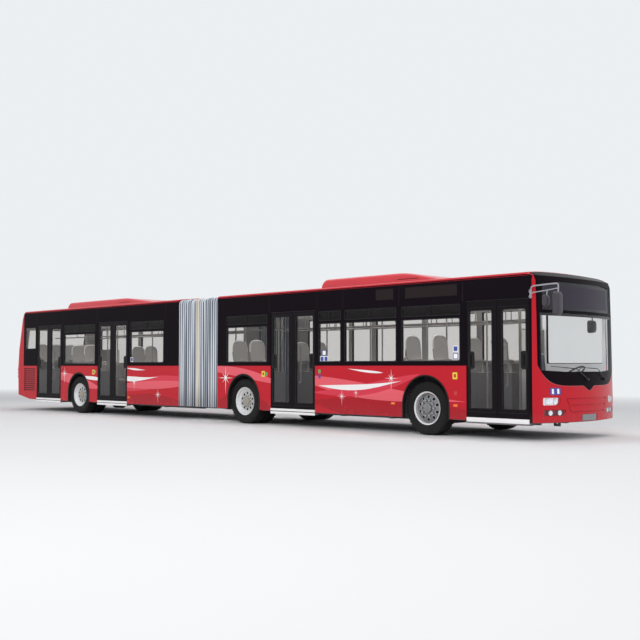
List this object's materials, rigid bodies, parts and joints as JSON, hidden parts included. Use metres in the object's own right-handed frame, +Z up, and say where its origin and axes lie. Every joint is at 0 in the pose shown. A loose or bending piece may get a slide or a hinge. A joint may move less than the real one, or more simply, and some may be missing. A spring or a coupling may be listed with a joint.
{
  "type": "articulated city bus",
  "caption": "Articulated low-floor city bus: glazed front and rear sections hinged under a pleated bellows, with steered front wheels, twin wheels and inward-swinging doors.",
  "frame": {"origin": "on the ground under the middle of the overall box, on the centre plane of the straight bus", "axes": "+X towards the front, +Y to the left (driver) side, +Z up"},
  "size_m": [18.27, 2.9, 3.0159],
  "materials": {
    "red_paint": "gloss",
    "roof_paint": "satin",
    "floor_sheet": "matt",
    "glass": "polished",
    "clear_glass": "polished",
    "lens": "polished",
    "red_lens": "polished",
    "black_plastic": "matt",
    "seat": "satin",
    "pole": "gloss",
    "tyre": "matt",
    "rim": "satin",
    "iron": "matt",
    "bellows": "matt",
    "door": "satin",
    "deck": "satin"
  },
  "bodies": {
    "front_section": {"front_floor": "floor_sheet", "front_wall_right": "red_paint", "front_wall_left": "red_paint", "front_roof": "roof_paint", "front_mask": "red_paint", "windscreen": "clear_glass", "front_windows": "glass", "front_lamps": "lens", "front_roof_unit": "roof_paint", "front_axle": "iron", "mid_axle": "iron", "driver_station": "black_plastic", "front_seats": "seat", "front_poles": "pole", "mirrors": "black_plastic", "wipers": "black_plastic", "turntable": "deck", "bellows": "bellows"},
    "rear_section": {"rear_floor": "floor_sheet", "rear_wall_right": "red_paint", "rear_wall_left": "red_paint", "rear_roof": "roof_paint", "rear_end": "red_paint", "rear_windows": "glass", "tail_lamps": "red_lens", "rear_roof_unit": "roof_paint", "rear_axle": "iron", "engine_block": "iron", "rear_seats": "seat", "rear_poles": "pole"},
    "knuckle_left": {"knuckle_left": "iron"},
    "knuckle_right": {"knuckle_right": "iron"},
    "wheel_front_left": {"tyre_front_left": "tyre", "rim_front_left": "rim"},
    "wheel_front_right": {"tyre_front_right": "tyre", "rim_front_right": "rim"},
    "wheel_mid_left": {"tyre_mid_left": "tyre", "rim_mid_left": "rim"},
    "wheel_mid_right": {"tyre_mid_right": "tyre", "rim_mid_right": "rim"},
    "wheel_rear_left": {"tyre_rear_left": "tyre", "rim_rear_left": "rim"},
    "wheel_rear_right": {"tyre_rear_right": "tyre", "rim_rear_right": "rim"},
    "door1_leaf_front": {"door1_leaf_front": "door"},
    "door1_leaf_rear": {"door1_leaf_rear": "door"},
    "door2_leaf_front": {"door2_leaf_front": "door"},
    "door2_leaf_rear": {"door2_leaf_rear": "door"},
    "door3_leaf_front": {"door3_leaf_front": "door"},
    "door3_leaf_rear": {"door3_leaf_rear": "door"},
    "door4_leaf_front": {"door4_leaf_front": "door"},
    "door4_leaf_rear": {"door4_leaf_rear": "door"}
  },
  "joints": [
    {"name": "articulation", "type": "hinge", "parent": "front_section", "child": "rear_section", "pos_m": [-0.42, 0, 0.3], "axis": [0, 0, 1], "range_deg": [-50, 50], "deforming": ["bellows"]},
    {"name": "steer_left", "type": "hinge", "parent": "front_section", "child": "knuckle_left", "pos_m": [6.27, 0.9975, 0.486], "axis": [0, 0, 1], "range_deg": [-40, 40]},
    {"name": "steer_right", "type": "hinge", "parent": "front_section", "child": "knuckle_right", "pos_m": [6.27, -0.9975, 0.486], "axis": [0, 0, 1], "range_deg": [-40, 40]},
    {"name": "roll_front_left", "type": "hinge", "parent": "knuckle_left", "child": "wheel_front_left", "pos_m": [6.27, 1.0975, 0.486], "axis": [0, 1, 0], "continuous": true},
    {"name": "roll_mid_left", "type": "hinge", "parent": "front_section", "child": "wheel_mid_left", "pos_m": [1.199, 0.9425, 0.486], "axis": [0, 1, 0], "continuous": true},
    {"name": "roll_rear_left", "type": "hinge", "parent": "rear_section", "child": "wheel_rear_left", "pos_m": [-5.565, 0.9425, 0.486], "axis": [0, 1, 0], "continuous": true},
    {"name": "roll_front_right", "type": "hinge", "parent": "knuckle_right", "child": "wheel_front_right", "pos_m": [6.27, -1.0975, 0.486], "axis": [0, 1, 0], "continuous": true},
    {"name": "roll_mid_right", "type": "hinge", "parent": "front_section", "child": "wheel_mid_right", "pos_m": [1.199, -0.9425, 0.486], "axis": [0, 1, 0], "continuous": true},
    {"name": "roll_rear_right", "type": "hinge", "parent": "rear_section", "child": "wheel_rear_right", "pos_m": [-5.565, -0.9425, 0.486], "axis": [0, 1, 0], "continuous": true},
    {"name": "door1_front_swing", "type": "hinge", "parent": "front_section", "child": "door1_leaf_front", "pos_m": [8.4405, -1.2455, 0.372], "axis": [0, 0, 1], "range_deg": [-88, 0]},
    {"name": "door1_rear_swing", "type": "hinge", "parent": "front_section", "child": "door1_leaf_rear", "pos_m": [7.2125, -1.2455, 0.372], "axis": [0, 0, 1], "range_deg": [0, 88]},
    {"name": "door2_front_swing", "type": "hinge", "parent": "front_section", "child": "door2_leaf_front", "pos_m": [3.3955, -1.2455, 0.372], "axis": [0, 0, 1], "range_deg": [-88, 0]},
    {"name": "door2_rear_swing", "type": "hinge", "parent": "front_section", "child": "door2_leaf_rear", "pos_m": [2.1145, -1.2455, 0.372], "axis": [0, 0, 1], "range_deg": [0, 88]},
    {"name": "door3_front_swing", "type": "hinge", "parent": "rear_section", "child": "door3_leaf_front", "pos_m": [-3.3095, -1.2455, 0.372], "axis": [0, 0, 1], "range_deg": [-88, 0]},
    {"name": "door3_rear_swing", "type": "hinge", "parent": "rear_section", "child": "door3_leaf_rear", "pos_m": [-4.6195, -1.2455, 0.372], "axis": [0, 0, 1], "range_deg": [0, 88]},
    {"name": "door4_front_swing", "type": "hinge", "parent": "rear_section", "child": "door4_leaf_front", "pos_m": [-6.5125, -1.2455, 0.372], "axis": [0, 0, 1], "range_deg": [-88, 0]},
    {"name": "door4_rear_swing", "type": "hinge", "parent": "rear_section", "child": "door4_leaf_rear", "pos_m": [-7.7815, -1.2455, 0.372], "axis": [0, 0, 1], "range_deg": [0, 88]}
  ],
  "couplings": [
    {"joint": "steer_right", "follows": "steer_left", "ratio": 1},
    {"joint": "door1_rear_swing", "follows": "door1_front_swing", "ratio": -1},
    {"joint": "door2_rear_swing", "follows": "door2_front_swing", "ratio": -1},
    {"joint": "door3_rear_swing", "follows": "door3_front_swing", "ratio": -1},
    {"joint": "door4_rear_swing", "follows": "door4_front_swing", "ratio": -1}
  ]
}
